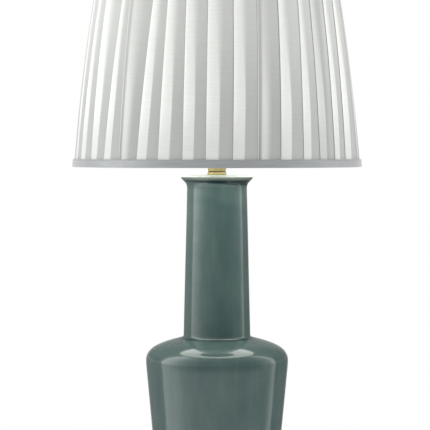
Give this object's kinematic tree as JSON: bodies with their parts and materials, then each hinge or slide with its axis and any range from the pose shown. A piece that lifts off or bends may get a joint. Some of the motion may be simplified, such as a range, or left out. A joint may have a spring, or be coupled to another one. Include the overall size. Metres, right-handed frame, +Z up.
{
  "type": "table lamp",
  "caption": "Table lamp with a glazed bottle-shaped vase as its base and a knife-pleated cloth shade held on a harp.",
  "frame": {"origin": "centre of the felt's underside, where the lamp stands", "axes": "+Z up, the lamp's axis; the front and the switch knob face -Y; the harp's legs are left and right on X; the cord hole faces +Y"},
  "size_m": [0.4058, 0.4058, 0.7636],
  "materials": {
    "celadon_glaze": "glossy grey-green glaze, paler on the rim",
    "pleated_silk": "off-white slub weave in knife pleats",
    "lining_cloth": "plain white lining",
    "trim_tape": "folded tape of the same cloth",
    "brass": "satin, lacquered",
    "brass_plated_steel": "plated, satin",
    "zinc_steel": "zinc plated",
    "frame_wire": "white powder coat",
    "shell_metal": "rolled thread",
    "frosted_glass": "frosted inside",
    "bulb_ceramic": "black glass",
    "solder": "dull tin",
    "moulded_block": "moulded",
    "knob_plastic": "fluted, moulded",
    "bushing_plastic": "moulded nylon",
    "liner_card": "fibre board",
    "felt": "dark green felt",
    "gasket_rubber": "plain"
  },
  "bodies": {
    "lamp_base": {"vase_body": "celadon_glaze", "base_felt": "felt", "base_gasket": "gasket_rubber", "base_plate": "zinc_steel", "lock_washer": "zinc_steel", "pipe_nut": "zinc_steel", "lamp_pipe": "zinc_steel", "cord_bushing": "bushing_plastic", "brass_neck": "brass", "harp_saddle": "brass_plated_steel", "socket_cap": "brass", "cap_set_screw": "zinc_steel", "socket_shell": "brass", "shell_liner": "liner_card", "socket_interior": "moulded_block", "terminal_screws": "brass", "screw_shell": "shell_metal", "centre_contact": "brass"},
    "harp": {"harp_wire": "brass_plated_steel", "harp_yoke": "brass"},
    "ferrule_left": {"ferrule_left": "brass"},
    "ferrule_right": {"ferrule_right": "brass"},
    "stud": {"harp_stud": "brass"},
    "shade": {"shade_cover": "pleated_silk", "shade_lining": "lining_cloth", "bottom_ring": "frame_wire", "top_ring": "frame_wire", "shade_struts": "frame_wire", "bottom_trim": "trim_tape", "top_trim": "trim_tape", "spider_hub": "brass_plated_steel", "spider_arms": "frame_wire"},
    "finial": {"finial": "brass"},
    "bulb": {"bulb_contact": "solder", "bulb_insulator": "bulb_ceramic", "bulb_cap": "shell_metal", "bulb_glass": "frosted_glass"},
    "switch": {"switch_rotor": "moulded_block", "switch_shaft": "brass", "switch_knob": "knob_plastic"}
  },
  "joints": [
    {"name": "harp_lift", "type": "slide", "parent": "lamp_base", "child": "harp", "axis": [0, 0, 1], "range_m": [0, 0.045]},
    {"name": "ferrule_left_slide", "type": "slide", "parent": "harp", "child": "ferrule_left", "axis": [0, 0, 1], "range_m": [0, 0.02]},
    {"name": "ferrule_right_slide", "type": "slide", "parent": "harp", "child": "ferrule_right", "axis": [0, 0, 1], "range_m": [0, 0.02]},
    {"name": "stud_swivel", "type": "hinge", "parent": "harp", "child": "stud", "pos_m": [0, 0, 0.7297], "axis": [0, 0, 1], "continuous": true},
    {"name": "shade_lift", "type": "slide", "parent": "stud", "child": "shade", "axis": [0, 0, 1], "range_m": [0, 0.31]},
    {"name": "finial_turn", "type": "hinge", "parent": "shade", "child": "finial", "pos_m": [0, 0, 0.7336], "axis": [0, 0, 1], "continuous": true},
    {"name": "bulb_turn", "type": "hinge", "parent": "lamp_base", "child": "bulb", "pos_m": [0, 0, 0.4908], "axis": [0, 0, 1], "continuous": true},
    {"name": "switch_turn", "type": "hinge", "parent": "lamp_base", "child": "switch", "pos_m": [0, -0.036, 0.4793], "axis": [0, -1, 0], "continuous": true}
  ]
}
